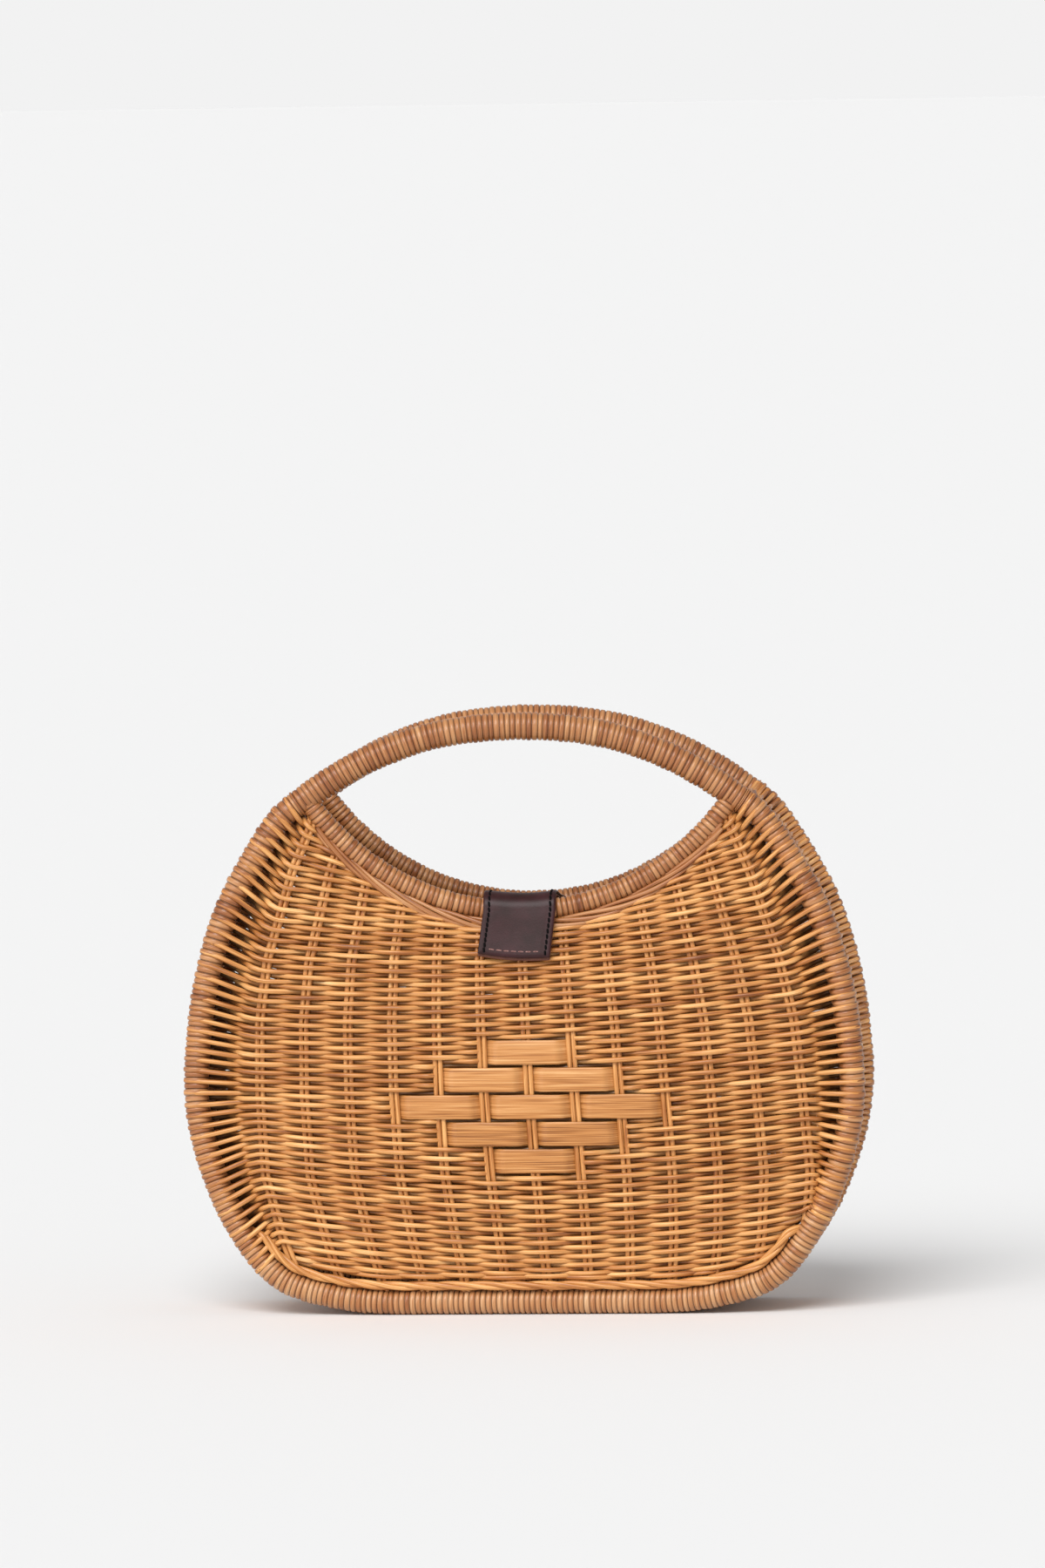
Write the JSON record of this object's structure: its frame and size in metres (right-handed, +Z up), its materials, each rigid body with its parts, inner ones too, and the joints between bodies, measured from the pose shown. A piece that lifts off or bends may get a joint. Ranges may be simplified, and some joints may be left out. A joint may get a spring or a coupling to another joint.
{
  "type": "half-moon wicker handbag",
  "caption": "Rattan handbag with two wrapped hoops whose tops are handles, crowned woven panels with a flat-strip diamond, and a leather closing strap.",
  "frame": {"origin": "on the ground under the middle of the bag", "axes": "+X to the right along the bag's width, -Y towards the front with the strap, +Z up to the handles"},
  "size_m": [0.2984, 0.0896, 0.2639],
  "materials": {
    "wrapped_cane": "round reed wrapped side by side, oiled to a low sheen",
    "woven_reed": "plain weave of peeled round reed, honey coloured with darker streaks",
    "flat_cane": "flat split cane with fine lengthwise grain",
    "dark_leather": "smooth finished leather, dark burgundy brown, black stitching",
    "raw_leather": "unfinished leather with a reddish cut edge",
    "plated_steel": "plain plated disc, hidden behind the strap"
  },
  "bodies": {
    "root": {"front_hoop": "wrapped_cane", "back_hoop": "wrapped_cane", "front_mouth_rod": "wrapped_cane", "back_mouth_rod": "wrapped_cane", "front_panel": "woven_reed", "back_panel": "woven_reed", "front_wale": "woven_reed", "back_wale": "woven_reed", "left_side": "woven_reed", "right_side": "woven_reed", "base": "woven_reed", "flat_strip_1": "flat_cane", "flat_strip_2": "flat_cane", "flat_strip_3": "flat_cane", "flat_strip_4": "flat_cane", "flat_strip_5": "flat_cane", "strap_outer": "dark_leather", "strap_backing": "raw_leather", "snap": "plated_steel"}
  },
  "joints": []
}
